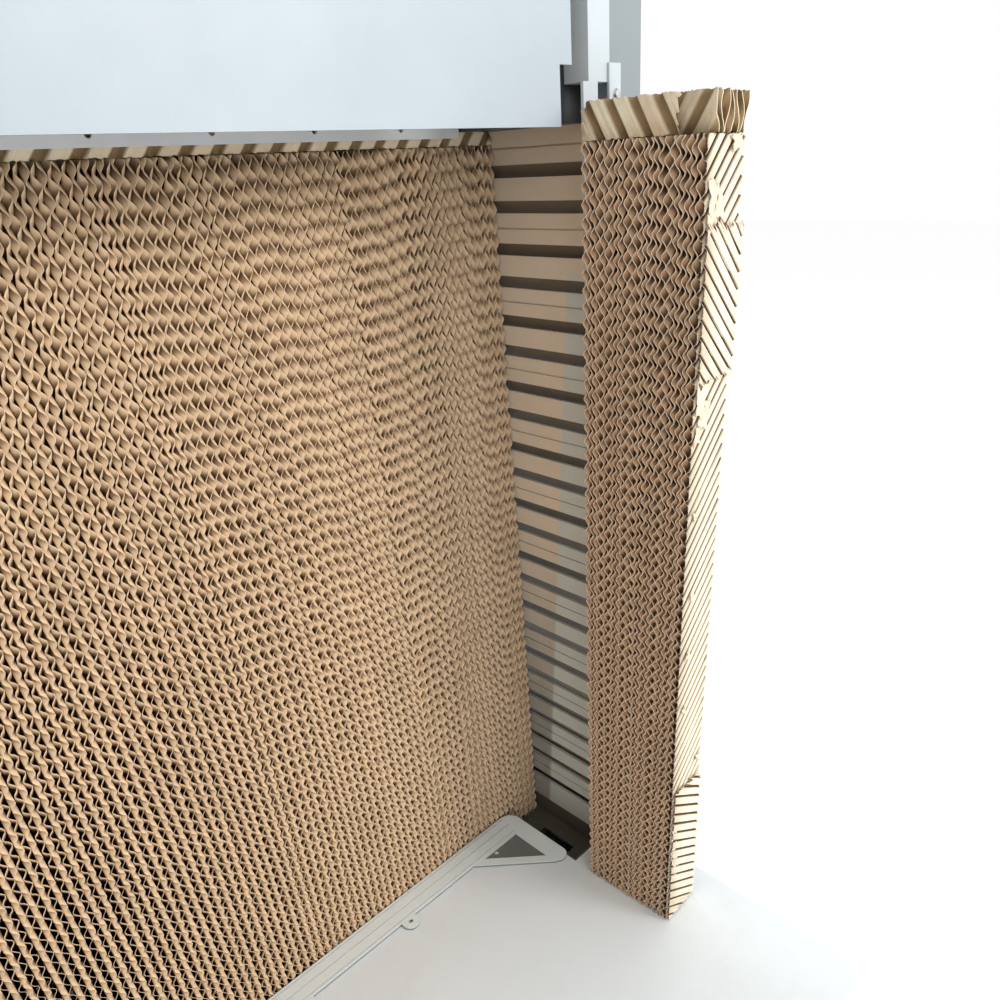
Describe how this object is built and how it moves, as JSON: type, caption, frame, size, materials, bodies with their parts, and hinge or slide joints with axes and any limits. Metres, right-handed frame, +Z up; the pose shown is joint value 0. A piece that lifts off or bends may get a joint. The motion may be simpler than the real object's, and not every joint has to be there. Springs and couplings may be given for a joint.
{
  "type": "evaporative cooler",
  "caption": "Free-standing evaporative cooler with fluted cooling pads on its back and sides, louvred panels, a water tank base and a hinged fan door that stands open.",
  "frame": {"origin": "on the floor, under the middle of the whole object with its fan door open square", "axes": "+Z up, +Y towards the back of the cabinet, +X to the right seen from the front"},
  "size_m": [1.597, 1.538, 1.4],
  "materials": {
    "white_plastic": "satin moulded",
    "white_paint": "satin powder coat",
    "grey_paint": "satin powder coat",
    "louvre_plastic": "satin, weathered",
    "cooling_pad": "fluted cellulose, matte",
    "cap_pad": "fluted cellulose, matte",
    "trough_plastic": "satin",
    "pipe_plastic": "satin",
    "pump_plastic": "satin",
    "dark_plastic": "satin",
    "fan_plastic": "satin",
    "vane_plastic": "satin",
    "rubber": "matte",
    "steel": "zinc plated",
    "motor_paint": "satin",
    "brass": "satin",
    "float_plastic": "satin",
    "panel_plastic": "satin",
    "lamp_plastic": "gloss"
  },
  "bodies": {
    "cabinet": {"base_tank": "white_plastic", "deck": "white_plastic", "pad_tray": "trough_plastic", "pad_rim": "white_plastic", "foot_pads": "rubber", "foot_studs": "steel", "retaining_posts": "white_paint", "upper_posts": "white_paint", "front_corner_posts": "grey_paint", "rear_corner_posts": "grey_paint", "post_brackets": "white_paint", "bracket_screws": "steel", "louvre_left": "louvre_plastic", "louvre_right": "louvre_plastic", "louvre_rear": "louvre_plastic", "rear_pad": "cooling_pad", "rear_cap": "cap_pad", "left_pad": "cooling_pad", "left_cap": "cap_pad", "water_trough": "trough_plastic", "side_troughs": "dark_plastic", "trough_skirt": "trough_plastic", "spray_pipe": "pipe_plastic", "riser_pipe": "pipe_plastic", "water_pump": "pump_plastic", "pump_strainer": "dark_plastic", "inlet_valve": "brass", "overflow_pipe": "pipe_plastic", "top_cover": "white_plastic", "front_fascia": "white_plastic", "hinge_leaves_cabinet": "white_paint", "hinge_pins": "steel"},
    "hatch": {"pump_hatch": "white_plastic"},
    "side_pad": {"right_pad": "cooling_pad", "right_cap": "cap_pad"},
    "float": {"float_arm": "brass", "float_ball": "float_plastic"},
    "plug": {"drain_plug": "dark_plastic"},
    "fan_door": {"door_shell": "white_plastic", "fan_plate": "grey_paint", "fan_ring": "grey_paint", "door_gasket": "rubber", "motor_bracket": "grey_paint", "fan_motor": "motor_paint", "inner_guard": "steel", "control_panel": "panel_plastic", "signal_lamp": "lamp_plastic", "hinge_leaves_door": "white_paint"},
    "fan": {"fan_shaft": "steel", "fan_hub": "fan_plastic", "fan_blades": "fan_plastic"},
    "speed": {"speed_knob": "dark_plastic"},
    "timer": {"timer_knob": "dark_plastic"},
    "switch": {"pump_switch": "dark_plastic"},
    "latch": {"door_latch": "steel"},
    "vane_1": {"outlet_vane_1": "vane_plastic"},
    "vane_2": {"outlet_vane_2": "vane_plastic"},
    "vane_3": {"outlet_vane_3": "vane_plastic"},
    "vane_4": {"outlet_vane_4": "vane_plastic"},
    "vane_5": {"outlet_vane_5": "vane_plastic"}
  },
  "joints": [
    {"name": "fan_door_swing", "type": "hinge", "parent": "cabinet", "child": "fan_door", "pos_m": [-0.437, 0.464, 0.8], "axis": [0, 0, 1], "range_deg": [-60, 82]},
    {"name": "fan_spin", "type": "hinge", "parent": "fan_door", "child": "fan", "pos_m": [-0.583, -0.148, 0.8645], "axis": [1, 0, 0], "continuous": true},
    {"name": "side_pad_lift", "type": "slide", "parent": "cabinet", "child": "side_pad", "axis": [0, 0, 1], "range_m": [0, 0.35]},
    {"name": "pump_hatch_slide", "type": "slide", "parent": "cabinet", "child": "hatch", "axis": [0, -1, 0], "range_m": [0, 0.15]},
    {"name": "float_arm_swing", "type": "hinge", "parent": "cabinet", "child": "float", "pos_m": [0.726, 0.32, 0.254], "axis": [0, 1, 0], "range_deg": [0, 38]},
    {"name": "drain_plug_pull", "type": "slide", "parent": "cabinet", "child": "plug", "axis": [1, 0, 0], "range_m": [0, 0.03]},
    {"name": "speed_knob_turn", "type": "hinge", "parent": "fan_door", "child": "speed", "pos_m": [-0.778, 0.012, 1.346], "axis": [-1, 0, 0], "range_deg": [0, 180]},
    {"name": "timer_knob_turn", "type": "hinge", "parent": "fan_door", "child": "timer", "pos_m": [-0.778, 0.092, 1.346], "axis": [-1, 0, 0], "range_deg": [0, 300]},
    {"name": "pump_switch_rock", "type": "hinge", "parent": "fan_door", "child": "switch", "pos_m": [-0.778, 0.182, 1.346], "axis": [0, 1, 0], "range_deg": [-16, 0]},
    {"name": "door_latch_turn", "type": "hinge", "parent": "fan_door", "child": "latch", "pos_m": [-0.484, -0.748, 0.85], "axis": [0, 1, 0], "range_deg": [0, 90]},
    {"name": "vane_1_tilt", "type": "hinge", "parent": "fan_door", "child": "vane_1", "pos_m": [-0.724, -0.148, 0.5205], "axis": [0, 1, 0], "range_deg": [-40, 40]},
    {"name": "vane_2_tilt", "type": "hinge", "parent": "fan_door", "child": "vane_2", "pos_m": [-0.724, -0.148, 0.6925], "axis": [0, 1, 0], "range_deg": [-40, 40]},
    {"name": "vane_3_tilt", "type": "hinge", "parent": "fan_door", "child": "vane_3", "pos_m": [-0.724, -0.148, 0.8645], "axis": [0, 1, 0], "range_deg": [-40, 40]},
    {"name": "vane_4_tilt", "type": "hinge", "parent": "fan_door", "child": "vane_4", "pos_m": [-0.724, -0.148, 1.0365], "axis": [0, 1, 0], "range_deg": [-40, 40]},
    {"name": "vane_5_tilt", "type": "hinge", "parent": "fan_door", "child": "vane_5", "pos_m": [-0.724, -0.148, 1.2085], "axis": [0, 1, 0], "range_deg": [-40, 40]}
  ],
  "couplings": [
    {"joint": "vane_2_tilt", "follows": "vane_1_tilt", "ratio": 1},
    {"joint": "vane_3_tilt", "follows": "vane_1_tilt", "ratio": 1},
    {"joint": "vane_4_tilt", "follows": "vane_1_tilt", "ratio": 1},
    {"joint": "vane_5_tilt", "follows": "vane_1_tilt", "ratio": 1}
  ]
}
